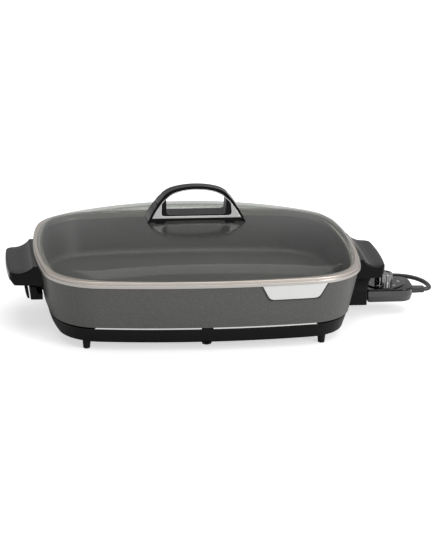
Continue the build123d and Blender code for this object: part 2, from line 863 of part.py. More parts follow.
with BuildPart() as cover_screws:
    head_top = screw_plane_z - washer_drop - washer_thick
    with BuildSketch(Plane.XY.offset(head_top - screw_head_height)):
        with Locations((-cover_screw_x, 0), (cover_screw_x, 0)):
            Circle(screw_head_radius + 1)
    extrude(amount=screw_head_height)
    with BuildSketch(Plane.XY.offset(head_top)):
        with Locations((-cover_screw_x, 0), (cover_screw_x, 0)):
            Circle(cover_screw_radius - 0.05)
    extrude(amount=cover_screw_top - 0.5 - head_top)
save(cover_screws, "cover_screws")

# ================= heat control =================
control_floor_z = control_foot_z + control_wall
control_roof_z = control_top_z - control_wall
deck_foot_z = control_top_z + deck_seam
deck_z = deck_foot_z + deck_thick
nose_x = control_in - nose_reach
block_end_x = control_in + block_inside
flange_end_x = control_end - control_wall - control_taper


def control_plan(z, inset):
    """Outline of the heat control at a height: square at the nose, round at the cord end."""
    near, far, half = control_in + inset, control_end - inset, control_half - inset
    with BuildSketch(Plane.XY.offset(z)) as flat:
        with Locations((near, 0)):
            Rectangle(far - near, 2 * half, align=(Align.MIN, Align.CENTER))
        fillet(flat.vertices().group_by(Axis.X)[-1], control_corner - inset)
        fillet(flat.vertices().group_by(Axis.X)[0], control_nose_corner)
    return flat.sketch


def dots(z, radius, spots):
    """Circles at a height, one on each spot."""
    with BuildSketch(Plane.XY.offset(z)) as flat:
        with Locations(*spots):
            Circle(radius)
    return flat.sketch


def block_section(x, grow):
    """Cross-section of the contact block."""
    with BuildSketch(across_x(x)) as face:
        with Locations((0, probe_z)):
            RectangleRounded(2 * (nose_half + grow), nose_height + 2 * grow, nose_round)
    return face.sketch


def relief_section(x, width, height):
    """Cross-section of the strain relief."""
    with BuildSketch(across_x(x)) as face:
        with Locations((0, relief_z)):
            RectangleRounded(width, height, relief_round)
    return face.sketch


with BuildPart() as control_bottom:
    loft([control_plan(control_foot_z, control_taper), control_plan(control_split_z, 0)])
    fillet(control_bottom.faces().sort_by(Axis.Z)[0].edges(), control_round)
    inner = [control_plan(control_floor_z, control_taper + control_wall), control_plan(control_split_z, control_wall)]
    loft(inner, mode=Mode.SUBTRACT)
    extrude(dots(control_floor_z, post_radius, post_spots), amount=control_split_z - control_floor_z)
    extrude(dots(control_foot_z, case_screw_radius, post_spots), amount=control_top_z, mode=Mode.SUBTRACT)
    head_pocket = dots(control_foot_z, case_head_radius + block_fit, post_spots)
    extrude(head_pocket, amount=case_head_height + case_head_sink, mode=Mode.SUBTRACT)
    extrude(block_section(nose_x, block_fit), amount=block_end_x - nose_x, mode=Mode.SUBTRACT)
    relief_hole = relief_section(relief_start_x, relief_width + 2 * relief_fit, relief_height + 2 * relief_fit)
    extrude(relief_hole, amount=control_end, mode=Mode.SUBTRACT)
save(control_bottom, "control_bottom")

with BuildPart() as control_top:
    extrude(control_plan(control_split_z, 0), amount=control_top_z - control_split_z)
    extrude(control_plan(control_top_z, deck_step), amount=deck_seam)
    hollow = control_plan(control_split_z, control_wall)
    extrude(hollow, amount=control_roof_z - control_split_z, mode=Mode.SUBTRACT)
    extrude(dots(control_split_z, post_radius, post_spots), amount=control_roof_z - control_split_z)
    extrude(dots(control_split_z, case_screw_radius, post_spots), amount=case_screw_top - control_split_z, mode=Mode.SUBTRACT)
    extrude(dots(control_split_z, lens_radius + block_fit, [lens_spot]), amount=deck_z, mode=Mode.SUBTRACT)
    extrude(dots(control_split_z, shaft_radius + shaft_fit, [(dial_x, 0)]), amount=deck_z, mode=Mode.SUBTRACT)
    extrude(block_section(nose_x, block_fit), amount=block_end_x - nose_x, mode=Mode.SUBTRACT)
    extrude(relief_hole, amount=control_end, mode=Mode.SUBTRACT)
save(control_top, "control_top")

with BuildPart() as control_deck:
    extrude(control_plan(deck_foot_z, deck_inset), amount=deck_thick)
    fillet(control_deck.faces().sort_by(Axis.Z)[-1].edges(), deck_thick * 0.6)
    extrude(dots(control_split_z, lens_radius + block_fit, [lens_spot]), amount=deck_z, mode=Mode.SUBTRACT)
    extrude(dots(control_split_z, shaft_radius + shaft_fit, [(dial_x, 0)]), amount=deck_z, mode=Mode.SUBTRACT)
save(control_deck, "control_deck")

with BuildPart() as control_screws:
    head_foot_z = control_foot_z + case_head_sink
    extrude(dots(head_foot_z, case_head_radius, post_spots), amount=case_head_height)
    shank_z = head_foot_z + case_head_height
    extrude(dots(shank_z, case_screw_radius - 0.05, post_spots), amount=case_screw_top - 0.2 - shank_z)
save(control_screws, "control_screws")

with BuildPart() as contact_block:
    extrude(block_section(nose_x, 0), amount=block_end_x - nose_x)
    with BuildSketch(across_x(nose_x)):
        with Locations((-loop_neck, probe_z), (loop_neck, probe_z)):
            Circle(sleeve_radius)
        with Locations((0, probe_z)):
            Circle(probe_radius)
    extrude(amount=control_end, mode=Mode.SUBTRACT)
save(contact_block, "contact_block")

with BuildPart() as contact_sleeves:
    with BuildSketch(across_x(nose_x + 1)):
        with Locations((-loop_neck, probe_z), (loop_neck, probe_z)):
            Circle(sleeve_radius)
            Circle(pin_radius + sleeve_fit, mode=Mode.SUBTRACT)
    extrude(amount=block_end_x + 1 - nose_x)
save(contact_sleeves, "contact_sleeves")

with BuildPart() as sensor_probe:
    with BuildSketch(across_x(probe_tip_x)):
        with Locations((0, probe_z)):
            Circle(probe_radius)
    extrude(amount=frame_x - probe_tip_x)
    fillet(sensor_probe.faces().sort_by(Axis.X)[0].edges(), probe_radius * 0.8)
save(sensor_probe, "sensor_probe")

with BuildPart() as thermostat_frame:
    with BuildSketch(Plane.XY.offset(control_floor_z)):
        with Locations((frame_x, 0)):
            Rectangle(frame_length, 2 * frame_half, align=(Align.MIN, Align.CENTER))
        with Locations((dial_x, 0)):
            Circle(shaft_radius * 1.5, mode=Mode.SUBTRACT)
    extrude(amount=frame_thick)
    with BuildSketch(Plane.XY.offset(control_floor_z)):
        with Locations((frame_x, 0)):
            Rectangle(frame_thick, 2 * frame_half, align=(Align.MIN, Align.CENTER))
    extrude(amount=control_roof_z - control_floor_z)
save(thermostat_frame, "thermostat_frame")


def frame_blades(spots, length, width, thick):
    """Flat metal blades that lie on the thermostat's frame."""
    with BuildPart() as blades:
        with BuildSketch(Plane.XY.offset(control_floor_z + frame_thick)):
            with Locations(*[(frame_x + 2 * frame_thick, y) for y in spots]):
                Rectangle(length, width, align=(Align.MIN, Align.CENTER))
        extrude(amount=thick)
    return blades


save(frame_blades([-blade_y, blade_y], blade_length, blade_width, blade_thick), "contact_blades")
save(frame_blades([0], bimetal_length, bimetal_width, blade_thick), "bimetal_blade")

with BuildPart() as indicator_lens:
    extrude(dots(control_roof_z, lens_radius, [lens_spot]), amount=deck_z + lens_rise - control_roof_z)
    fillet(indicator_lens.faces().sort_by(Axis.Z)[-1].edges(), lens_rise * 0.8)
save(indicator_lens, "indicator_lens")

with BuildPart() as neon_lamp:
    extrude(dots(lamp_foot_z, lamp_radius, [lens_spot]), amount=control_roof_z - lamp_foot_z)
    fillet(neon_lamp.faces().sort_by(Axis.Z)[-1].edges(), lamp_radius * 0.6)
save(neon_lamp, "neon_lamp")

# ================= dial =================
skirt_foot_z = deck_z + skirt_gap
knob_foot_z = skirt_foot_z + skirt_height
knob_top_z = knob_foot_z + knob_height
dial_spot = [(dial_x, 0)]

with BuildPart() as dial_skirt:
    extrude(dots(skirt_foot_z, skirt_radius, dial_spot), amount=skirt_height)
    chamfer(dial_skirt.faces().sort_by(Axis.Z)[-1].edges(), skirt_bevel)
    extrude(dots(skirt_foot_z, shaft_radius, dial_spot), amount=skirt_height, mode=Mode.SUBTRACT)
save(dial_skirt, "dial_skirt")

with BuildPart() as dial_knob:
    extrude(dots(knob_foot_z, knob_radius, dial_spot), amount=knob_height, taper=knob_taper)
    fillet(dial_knob.faces().sort_by(Axis.Z)[-1].edges(), 1.2)
    with BuildSketch(Plane.XY.offset(knob_foot_z)):
        with Locations((dial_x, 0)):
            with PolarLocations(knob_radius - flute_sink + flute_radius, knob_flutes):
                Circle(flute_radius)
    extrude(amount=knob_height, taper=-knob_taper, mode=Mode.SUBTRACT)
    cap_dish = dots(knob_top_z, knob_cap_radius, dial_spot)
    extrude(cap_dish, amount=-knob_cap_depth, taper=30, mode=Mode.SUBTRACT)
    extrude(dots(knob_foot_z, shaft_radius, dial_spot), amount=shaft_bite, mode=Mode.SUBTRACT)
save(dial_knob, "dial_knob")

with BuildPart() as dial_shaft:
    shaft_foot_z = control_floor_z + frame_thick
    extrude(dots(shaft_foot_z, shaft_radius, dial_spot), amount=knob_foot_z + shaft_bite - shaft_foot_z)
    extrude(dots(cam_z, cam_radius, dial_spot), amount=cam_thick)
save(dial_shaft, "dial_shaft")

# ================= cord =================
with BuildPart() as strain_relief:
    flange = relief_section(relief_start_x, relief_flange, relief_flange_height)
    extrude(flange, amount=flange_end_x - relief_fit - relief_start_x)
    root = relief_section(flange_end_x - relief_fit, relief_width, relief_height)
    tip = relief_section(relief_end_x, relief_width * relief_taper, relief_height * relief_taper)
    loft([root, tip])
save(strain_relief, "strain_relief")


def cord_tube(route, name):
    """Round tube along a route: straight runs joined by arcs as wide as the runs allow."""
    spots = [Vector(*spot) for spot in route]
    runs = [b - a for a, b in zip(spots, spots[1:])]
    turns = [a.get_angle(b) for a, b in zip(runs, runs[1:])]
    radii = [
        0.45 * min(a.length, b.length) / tan(radians(turn) / 2)
        for a, b, turn in zip(runs, runs[1:], turns)
    ]
    with BuildPart() as tube:
        with BuildLine() as path:
            FilletPolyline(*route, radius=radii)
        line = path.line
        with BuildSketch(Plane(origin=line @ 0, z_dir=line % 0)) as ring:
            Circle(cord_radius)
        sweep(ring.sketch, path=line)
    save(tube, name)
    print(name, "turns", [round(turn) for turn in turns], "radii", [round(radius, 1) for radius in radii])
    length = sum(edge.length for edge in line.edges())
    print(name, "length", round(length, 1), "volume ratio", tube.part.volume / (length * pi * cord_radius**2))


cord_tube(cord_route, "power_cord")
cord_tube(tail_route, "cord_tail")


def coil_section(grow, foot_z):
    """Cross-section of the coil at its far side, grown outwards by a distance."""
    with BuildSketch(Plane(origin=(coil_x, coil_y, 0), x_dir=(0, 1, 0), z_dir=(1, 0, 0))) as face:
        with Locations((coil_radius, foot_z)):
            width, height = coil_band + 2 * grow, coil_height + coil_foot_z + grow - foot_z
            Rectangle(width, height, align=(Align.CENTER, Align.MIN))
        fillet(face.vertices(), cord_radius * 0.95)
    return face.sketch


with BuildPart() as cord_coil:
    revolve(coil_section(0, coil_foot_z), axis=Axis((coil_x, coil_y, 0), (0, 0, 1)))
save(cord_coil, "cord_coil")

with BuildPart() as cord_tie:
    extrude(coil_section(tie_fit + tie_thick, coil_foot_z - tie_fit - tie_thick), amount=tie_width / 2, both=True)
    hole = coil_section(tie_fit, coil_foot_z - tie_fit)
    extrude(hole, amount=tie_width, both=True, mode=Mode.SUBTRACT)
save(cord_tie, "cord_tie")


def plug_section(x, width, height):
    """Cross-section of the plug."""
    with BuildSketch(across_x(x)) as face:
        with Locations((plug_y, plug_z)):
            RectangleRounded(width, height, min(width, height) * 0.3)
    return face.sketch


blade_spots = [(plug_y - blade_gap / 2, plug_z), (plug_y + blade_gap / 2, plug_z)]
with BuildPart() as plug_body:
    shoulder_x = plug_end_x + plug_length
    loft([plug_section(plug_end_x, plug_width, plug_height), plug_section(shoulder_x, plug_width * 0.7, plug_height * 0.94)])
    fillet(plug_body.faces().group_by(Axis.X)[0].edges(), 1.2)
    neck = cord_radius * 2
    loft([plug_section(shoulder_x, neck * 2, neck * 1.9), plug_section(shoulder_x + plug_neck_length, neck * 1.3, neck * 1.3)])
    with BuildSketch(across_x(plug_end_x)):
        with Locations(*blade_spots):
            Rectangle(plug_blade_thick, plug_blade_height)
    extrude(amount=plug_blade_bite, mode=Mode.SUBTRACT)
save(plug_body, "plug_body")

with BuildPart() as plug_blades:
    with BuildSketch(across_x(plug_end_x - plug_blade_length)):
        with Locations(*blade_spots):
            Rectangle(plug_blade_thick, plug_blade_height)
    extrude(amount=plug_blade_length + plug_blade_bite)
    tips = plug_blades.faces().group_by(Axis.X)[0].edges().filter_by(Axis.Y)
    fillet(tips, plug_blade_height * 0.3)
save(plug_blades, "plug_blades")
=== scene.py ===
import json
import math

import bmesh
import bpy
import numpy as np
from mathutils import Matrix, Vector


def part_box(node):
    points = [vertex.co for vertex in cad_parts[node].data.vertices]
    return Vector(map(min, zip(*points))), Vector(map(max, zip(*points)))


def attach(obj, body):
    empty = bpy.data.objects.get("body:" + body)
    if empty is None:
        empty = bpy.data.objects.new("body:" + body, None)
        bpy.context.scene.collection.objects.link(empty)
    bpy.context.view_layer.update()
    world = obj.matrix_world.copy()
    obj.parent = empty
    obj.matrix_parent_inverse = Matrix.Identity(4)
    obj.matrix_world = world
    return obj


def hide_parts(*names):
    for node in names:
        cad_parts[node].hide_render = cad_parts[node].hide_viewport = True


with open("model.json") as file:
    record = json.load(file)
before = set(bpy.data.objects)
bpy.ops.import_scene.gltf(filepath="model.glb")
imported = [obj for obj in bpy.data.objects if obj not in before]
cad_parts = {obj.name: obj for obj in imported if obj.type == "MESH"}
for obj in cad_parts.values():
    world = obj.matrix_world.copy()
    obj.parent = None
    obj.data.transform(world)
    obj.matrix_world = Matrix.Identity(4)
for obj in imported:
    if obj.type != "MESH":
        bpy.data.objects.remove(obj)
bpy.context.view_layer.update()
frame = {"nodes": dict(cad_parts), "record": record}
nodes = frame["nodes"]
mm = 0.001

# ---------------------------------------------------------------- camera
TARGET = Vector((0, 0, 0.089))
CAMERA_AZIMUTH = -7.124
CAMERA_ELEVATION = 17.433
CAMERA_ROLL = 0.994
CAMERA_DISTANCE = 2.984
FOCAL_PIXELS = 2288.7
IMAGE_WIDTH, IMAGE_HEIGHT = 436, 533
TARGET_PIXEL = (194.4, 248.9)


def make_camera():
    """A long lens, a little rolled, that looks down on the front."""
    azimuth, elevation, roll = (
        math.radians(a) for a in (CAMERA_AZIMUTH, CAMERA_ELEVATION, CAMERA_ROLL)
    )
    right = Vector((math.cos(azimuth), math.sin(azimuth), 0))
    back = Vector(
        (
            math.sin(azimuth) * math.cos(elevation),
            -math.cos(azimuth) * math.cos(elevation),
            math.sin(elevation),
        )
    )
    up = back.cross(right)
    turned_right = right * math.cos(roll) + up * math.sin(roll)
    turned_up = up * math.cos(roll) - right * math.sin(roll)
    lens = bpy.data.cameras.new("camera")
    lens.lens = FOCAL_PIXELS * lens.sensor_width / IMAGE_HEIGHT
    lens.shift_x = (IMAGE_WIDTH / 2 - TARGET_PIXEL[0]) / IMAGE_HEIGHT
    lens.shift_y = (TARGET_PIXEL[1] - IMAGE_HEIGHT / 2) / IMAGE_HEIGHT
    lens.clip_start, lens.clip_end = 0.1, 60
    camera = bpy.data.objects.new("camera", lens)
    place = Matrix.Identity(4)
    for column, axis in enumerate((turned_right, turned_up, back)):
        for row in range(3):
            place[row][column] = axis[row]
    place.translation = TARGET + back * CAMERA_DISTANCE
    camera.matrix_world = place
    bpy.context.scene.collection.objects.link(camera)
    bpy.context.scene.camera = camera


make_camera()


# ---------------------------------------------------------------- shader maths
class Field:
    """A shader output that takes part in Python sums: each operator adds one Math node."""

    def __init__(self, finish, socket):
        self.finish, self.socket = finish, socket

    def __add__(self, other):
        return self.finish.math("ADD", self, other)

    def __radd__(self, other):
        return self.finish.math("ADD", other, self)

    def __sub__(self, other):
        return self.finish.math("SUBTRACT", self, other)

    def __rsub__(self, other):
        return self.finish.math("SUBTRACT", other, self)

    def __mul__(self, other):
        return self.finish.math("MULTIPLY", self, other)

    def __rmul__(self, other):
        return self.finish.math("MULTIPLY", other, self)

    def __abs__(self):
        return self.finish.math("ABSOLUTE", self, 0)


class Finish:
    """One material's nodes."""

    def __init__(self, name):
        self.material = bpy.data.materials.new(name)
        self.material.use_nodes = True
        self.tree = self.material.node_tree
        self.tree.nodes.clear()
        self.out = self.tree.nodes.new("ShaderNodeOutputMaterial")

    @staticmethod
    def input_of(node, key):
        """The socket that a key names: i and its number, or its name with each space written as _."""
        if key[0] == "i" and key[1:].isdigit():
            return node.inputs[int(key[1:])]
        return node.inputs[key.replace("_", " ")]

    def node(self, kind, settings=(), **inputs):
        """Adds a node: its settings first, then the values or links of its sockets."""
        node = self.tree.nodes.new(kind)
        for key, value in dict(settings).items():
            setattr(node, key, value)
        for key, value in inputs.items():
            socket = self.input_of(node, key)
            if isinstance(value, Field):
                self.tree.links.new(value.socket, socket)
            else:
                socket.default_value = value
        return node

    def math(self, operation, first, second):
        node = self.node("ShaderNodeMath", {"operation": operation}, i0=first, i1=second)
        return Field(self, node.outputs[0])

    def place(self):
        """Object coordinates, in metres."""
        return Field(self, self.node("ShaderNodeTexCoord").outputs["Object"])

    def axes(self):
        """The three Object coordinates, each by itself."""
        parts = self.node("ShaderNodeSeparateXYZ", i0=self.place())
        return [Field(self, parts.outputs[k]) for k in range(3)]

    def noise(self, size, detail=3.0, roughness=0.5, stretch=(1, 1, 1)):
        """Cloudy noise from 0 to 1 whose lumps are about a size in metres."""
        spot = self.node("ShaderNodeMapping", Vector=self.place(), Scale=[s / size for s in stretch])
        cloud = self.node(
            "ShaderNodeTexNoise",
            Vector=Field(self, spot.outputs[0]),
            Scale=1.0,
            Detail=detail,
            Roughness=roughness,
        )
        return Field(self, cloud.outputs["Fac"])

    def ramp(self, value, low, high):
        """0 below low, 1 above high and smooth between."""
        node = self.node(
            "ShaderNodeMapRange",
            {"interpolation_type": "SMOOTHSTEP"},
            Value=value,
            From_Min=low,
            From_Max=high,
        )
        return Field(self, node.outputs["Result"])

    def blend(self, factor, first, second):
        """Colour that goes from first to second."""
        node = self.node(
            "ShaderNodeMix", {"data_type": "RGBA"}, i0=factor, i6=first, i7=second
        )
        return Field(self, node.outputs[2])

    def bump(self, height, depth, strength=1.0):
        """Normal of a surface that stands proud by height times a depth in metres."""
        node = self.node("ShaderNodeBump", Height=height, Distance=depth, Strength=strength)
        return Field(self, node.outputs[0])

    def principled(self, **inputs):
        return Field(self, self.node("ShaderNodeBsdfPrincipled", **inputs).outputs[0])

    def done(self, shader):
        self.tree.links.new(shader.socket, self.out.inputs["Surface"])
        return self.material


def colour(*rgb):
    return (*rgb, 1.0)


def moulded_black(name, shade, roughness, grain, coat=0.0, mirror=0.22):
    """Moulded plastic: even black, cloudy gloss and a fine grain."""
    finish = Finish(name)
    cloud = finish.noise(18 * mm, 2)
    skin = finish.noise(0.35 * mm, 2)
    base = finish.blend(cloud, colour(*[c * 0.86 for c in shade]), colour(*[c * 1.14 for c in shade]))
    gloss = roughness + (cloud - 0.5) * 0.08 + (skin - 0.5) * 0.06
    return finish.done(
        finish.principled(
            Base_Color=base,
            Roughness=gloss,
            Coat_Weight=coat,
            Coat_Roughness=0.06,
            Specular_IOR_Level=mirror,
            Normal=finish.bump(skin, grain),
        )
    )


def plain_metal(name, shade, roughness, stretch=(1, 1, 1), streak=0.12):
    """Metal with fine drawn lines that run along the axis with the smallest stretch."""
    finish = Finish(name)
    lines = finish.noise(0.6 * mm, 3, 0.6, stretch)
    cloud = finish.noise(30 * mm, 2)
    base = finish.blend(cloud, colour(*[c * 0.92 for c in shade]), colour(*[min(1, c * 1.05) for c in shade]))
    return finish.done(
        finish.principled(
            Base_Color=base,
            Metallic=1.0,
            Roughness=roughness + (lines - 0.5) * streak,
            Normal=finish.bump(lines, 0.012 * mm),
        )
    )


FLANGE_HEIGHT, FLANGE_FADE = 4.2 * mm, 0.3 * mm


def pan_coating():
    """Grey speckled coat all over, and a bare bright edge round the flange."""
    finish = Finish("pan_coating")
    z = finish.axes()[2]
    speck = finish.noise(1.7 * mm, 3, 0.65)
    fleck = finish.ramp(finish.noise(1.1 * mm, 1, 0.4), 0.60, 0.74)
    cloud = finish.noise(60 * mm, 2)
    wall = finish.blend(speck, colour(0.052, 0.052, 0.049), colour(0.142, 0.141, 0.134))
    wall = finish.blend(fleck * 0.5, wall, colour(0.22, 0.217, 0.205))
    # the flange is bare metal from its underside up
    flange_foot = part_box("pan")[1].z - FLANGE_HEIGHT
    flange = finish.ramp(z, flange_foot, flange_foot + FLANGE_FADE)
    base = finish.blend(flange, wall, colour(0.60, 0.57, 0.54))
    roughness = 0.43 + (speck - 0.5) * 0.22 + (cloud - 0.5) * 0.06 - flange * 0.03
    return finish.done(
        finish.principled(
            Base_Color=base,
            Metallic=flange,
            Roughness=roughness,
            Coat_Weight=(1 - flange) * 0.12,
            Coat_Roughness=0.3,
            Normal=finish.bump(speck, 0.03 * mm, 0.6),
        )
    )


SLANT_START, SLANT_END = 0.75, 0.90
MOST_MIRRORED = 0.85


def cover_glass():
    """Clear tempered glass: light goes through it, and it mirrors more towards its edges."""
    finish = Finish("clear_glass")
    rim = Field(finish, finish.node("ShaderNodeFresnel", IOR=1.52).outputs[0])
    inside = Field(finish, finish.node("ShaderNodeNewGeometry").outputs["Backfacing"])
    facing = Field(finish, finish.node("ShaderNodeLayerWeight", Blend=0.5).outputs["Facing"])
    slant = finish.ramp(facing, SLANT_START, SLANT_END)
    clear = finish.blend(slant, colour(0.955, 0.962, 0.955), colour(0.46, 0.475, 0.44))
    see = Field(finish, finish.node("ShaderNodeBsdfTransparent", Color=clear).outputs[0])
    film = finish.noise(70 * mm, 2)
    mirror = finish.principled(
        Base_Color=finish.blend(film, colour(0.55, 0.57, 0.56), colour(0.66, 0.68, 0.67)),
        Metallic=1.0,
        Roughness=0.16,
    )
    share = (1 - inside) * finish.math("MINIMUM", rim, MOST_MIRRORED)
    mixed = finish.node("ShaderNodeMixShader", i0=share, i1=see, i2=mirror)
    return finish.done(Field(finish, mixed.outputs[0]))


BADGE_SLOPE = 11 / 21
BADGE_CORNER = 8 * mm
# painted shadow: the plate is dark within 1.6 mm of its edge, fading out by 2.0 mm
BADGE_SHADOW_BAND = (1.6 * mm, 2.0 * mm)


def badge_steel():
    """Satin plate with a thin painted shadow along its edge, and nothing written on it."""
    finish = Finish("badge_steel")
    low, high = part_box("badge_plate")
    x, _, z = finish.axes()
    middle, half = (low.x + high.x) / 2, (high.x - low.x) / 2
    across = abs(x - middle)
    slant = (half - (high.z - z) * BADGE_SLOPE - across) * (1 / math.hypot(1, BADGE_SLOPE))
    corner = finish.node(
        "ShaderNodeMath", {"operation": "SMOOTH_MIN"}, i0=slant, i1=z - low.z, i2=BADGE_CORNER
    )
    inside = Field(finish, corner.outputs[0])
    # painted shadow along the edge and round the corners: the plate is darker and less metallic there
    painted_edge_shadow = 1 - finish.ramp(inside, *BADGE_SHADOW_BAND)
    grain = finish.noise(0.5 * mm, 2, 0.5, (0.05, 1, 1))
    base = finish.blend(painted_edge_shadow, colour(0.86, 0.86, 0.85), colour(0.03, 0.03, 0.03))
    return finish.done(
        finish.principled(
            Base_Color=base,
            Metallic=0.55 - painted_edge_shadow * 0.5,
            Roughness=0.34 + (grain - 0.5) * 0.1,
            Normal=finish.bump(grain, 0.01 * mm),
        )
    )


def cord_jacket():
    """Satin rubber with a faint grain along the cord."""
    finish = Finish("cord_jacket")
    grain = finish.noise(0.5 * mm, 2)
    base = finish.blend(finish.noise(15 * mm), colour(0.040, 0.040, 0.042), colour(0.058, 0.058, 0.060))
    return finish.done(
        finish.principled(
            Base_Color=base,
            Roughness=0.4 + (grain - 0.5) * 0.12,
            Normal=finish.bump(grain, 0.02 * mm),
        )
    )


def glowing_part(name, shade, roughness):
    """Clear coloured plastic or lamp glass."""
    finish = Finish(name)
    cloud = finish.noise(2 * mm, 2)
    base = finish.blend(cloud, colour(*[c * 0.8 for c in shade]), colour(*shade))
    return finish.done(
        finish.principled(
            Base_Color=base,
            Roughness=roughness + (cloud - 0.5) * 0.05,
            Coat_Weight=0.6,
            Coat_Roughness=0.05,
        )
    )


black = moulded_black("black_plastic", (0.0085, 0.0085, 0.009), 0.32, 0.02 * mm, mirror=0.14)
gloss_black = moulded_black("grip_plastic", (0.003, 0.003, 0.0033), 0.12, 0.003 * mm, 0.12, 0.1)
grip_satin = moulded_black("grip_satin", (0.017, 0.017, 0.018), 0.33, 0.035 * mm, mirror=0.2)
housing_gloss = moulded_black("housing_gloss", (0.018, 0.018, 0.019), 0.15, 0.003 * mm, 0.6, 1.0)
dial_gloss = moulded_black("dial_plastic", (0.006, 0.006, 0.007), 0.14, 0.003 * mm, 0.3, 0.3)
foot_rubber = moulded_black("foot_rubber", (0.010, 0.010, 0.010), 0.55, 0.04 * mm)
washer_rubber = moulded_black("washer_rubber", (0.12, 0.12, 0.12), 0.55, 0.03 * mm)
porcelain = moulded_black("insulator", (0.62, 0.60, 0.55), 0.25, 0.004 * mm, 0.3)
rim_steel = plain_metal("rim_steel", (0.66, 0.595, 0.54), 0.32, (0.3, 0.3, 3), 0.06)
bright_trim = plain_metal("bright_trim", (0.86, 0.86, 0.85), 0.2, (0.1, 1, 1), 0.06)
smoked_chrome = plain_metal("smoked_chrome", (0.30, 0.30, 0.305), 0.14, streak=0.04)
screw_steel = plain_metal("screw_steel", (0.5, 0.5, 0.51), 0.33)
sheath_steel = plain_metal("sheath_steel", (0.33, 0.33, 0.34), 0.42)
contact_brass = plain_metal("contact_metal", (0.72, 0.62, 0.40), 0.28)
jacket = cord_jacket()
print_white = moulded_black("print_white", (0.72, 0.72, 0.70), 0.45, 0.004 * mm)

FINISHES = {
    "pan_coating": pan_coating(),
    "black_plastic": black,
    "grip_plastic": gloss_black,
    "clear_glass": cover_glass(),
    "rim_steel": rim_steel,
    "bright_trim": bright_trim,
    "badge_steel": badge_steel(),
    "screw_steel": screw_steel,
    "sheath_steel": sheath_steel,
    "contact_metal": contact_brass,
    "insulator": porcelain,
    "foot_rubber": foot_rubber,
    "washer_rubber": washer_rubber,
    "cord_rubber": jacket,
    "dial_plastic": dial_gloss,
    "lens_red": glowing_part("lens_red", (0.50, 0.03, 0.02), 0.12),
    "lamp_glass": glowing_part("lamp_glass", (0.8, 0.42, 0.22), 0.1),
}
SLOT_OF = {row["node"]: row["material_slot"] for row in frame["record"]["subparts"]}
BODY_OF = {
    name: body for body, names in frame["record"]["behaviour"]["bodies"].items() for name in names
}


def dress(piece, material):
    piece.data.materials.clear()
    piece.data.materials.append(material)


for name, node in nodes.items():
    dress(node, FINISHES[SLOT_OF[name]])


# ---------------------------------------------------------------- mesh helpers
def link(piece, body, material):
    """Puts a finished piece into the scene, on its body."""
    bpy.context.scene.collection.objects.link(piece)
    dress(piece, material)
    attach(piece, body)
    return piece


def grid_piece(name, points, body, material, wrap=False, flip=False):
    """A surface from an array of points [row, column, xyz]; wrap joins each row's two ends."""
    rows, columns = points.shape[:2]
    i, j = np.meshgrid(
        np.arange(rows - 1), np.arange(columns if wrap else columns - 1), indexing="ij"
    )
    row, next_row, following = i * columns, (i + 1) * columns, (j + 1) % columns
    corners = [row + j, next_row + j, next_row + following, row + following]
    faces = np.stack(corners, -1).reshape(-1, 4)
    if flip:
        faces = faces[:, ::-1]
    mesh = bpy.data.meshes.new(name)
    mesh.from_pydata(points.reshape(-1, 3).tolist(), [], faces.tolist())
    mesh.shade_smooth()
    return link(bpy.data.objects.new(name, mesh), body, material)


SAME_POINT, SAME_SOLID_POINT = 1e-6, 2e-6
CREASE = math.radians(35)
FLAT = math.radians(1.0)
EDGE_SEGMENTS = 3


def close_up(piece):
    """Joins the points that meet at a pole, closes the open border and turns the faces outwards."""
    work = bmesh.new()
    work.from_mesh(piece.data)
    bmesh.ops.remove_doubles(work, verts=work.verts, dist=SAME_POINT)
    bmesh.ops.holes_fill(work, edges=work.edges, sides=0)
    bmesh.ops.recalc_face_normals(work, faces=work.faces)
    work.to_mesh(piece.data)
    work.free()
    piece.data.shade_smooth()
    piece.data.set_sharp_from_angle(angle=CREASE)


SHOULDER_HEIGHTS = (130, 141, 151.7, 161.4, 167, 171.2, 176)
SHOULDER_SHARES = (1.012, 0.975, 0.957, 0.985, 1.06, 1.135, 1.17)


def square_shoulders(mesh):
    """Fuller shoulders and straighter legs for the cover handle: each x grows by a share read off a
    line through the heights above."""
    spots = np.empty(3 * len(mesh.vertices))
    mesh.vertices.foreach_get("co", spots)
    spots = spots.reshape(-1, 3)
    spots[:, 0] *= np.interp(spots[:, 2] / mm, SHOULDER_HEIGHTS, SHOULDER_SHARES)
    mesh.vertices.foreach_set("co", spots.ravel())


def soften(name, width):
    """A copy of a solid with its edges rounded, shown in the solid's place."""
    mesh = nodes[name].data.copy()
    if name.startswith("handle_") and BODY_OF[name] == "cover":
        square_shoulders(mesh)
    work = bmesh.new()
    work.from_mesh(mesh)
    bmesh.ops.remove_doubles(work, verts=work.verts, dist=SAME_SOLID_POINT)
    bmesh.ops.dissolve_limit(work, angle_limit=FLAT, verts=work.verts, edges=work.edges)
    work.to_mesh(mesh)
    work.free()
    mesh.shade_smooth()
    mesh.set_sharp_from_angle(angle=CREASE)
    piece = bpy.data.objects.new(name + "_soft", mesh)
    link(piece, BODY_OF[name], FINISHES[SLOT_OF[name]])
    edge = piece.modifiers.new("rounded edges", "BEVEL")
    edge.width, edge.segments = width, EDGE_SEGMENTS
    edge.limit_method, edge.angle_limit = "ANGLE", CREASE
    edge.use_clamp_overlap, edge.harden_normals = True, True
    edge.miter_outer = "MITER_ARC"
    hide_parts(name)
    return piece


# ---------------------------------------------------------------- side handles
GRIP_REACH = 245.6
GRIP_TOP = 79.0
SCOOP_START = 232.0
SCOOP_LENGTH = 19.2
SCOOP_CURVE = (12.36, -18.51, 17.01, -1.56, 0.04)
PAD_INNER, PAD_HALF, PAD_BORDER = 223.2, 53.5, 3.2
PAD_PROUD, PAD_THICKNESS = 0.45, 0.8
EDGE_BOW, EDGE_BOW_AT = 3.0, 56


def grip_edge(y):
    """Outer edge of the grip from above: a shallow bow, 3 mm deep at 56 mm from the middle."""
    return GRIP_REACH - EDGE_BOW * (y / EDGE_BOW_AT) ** 2


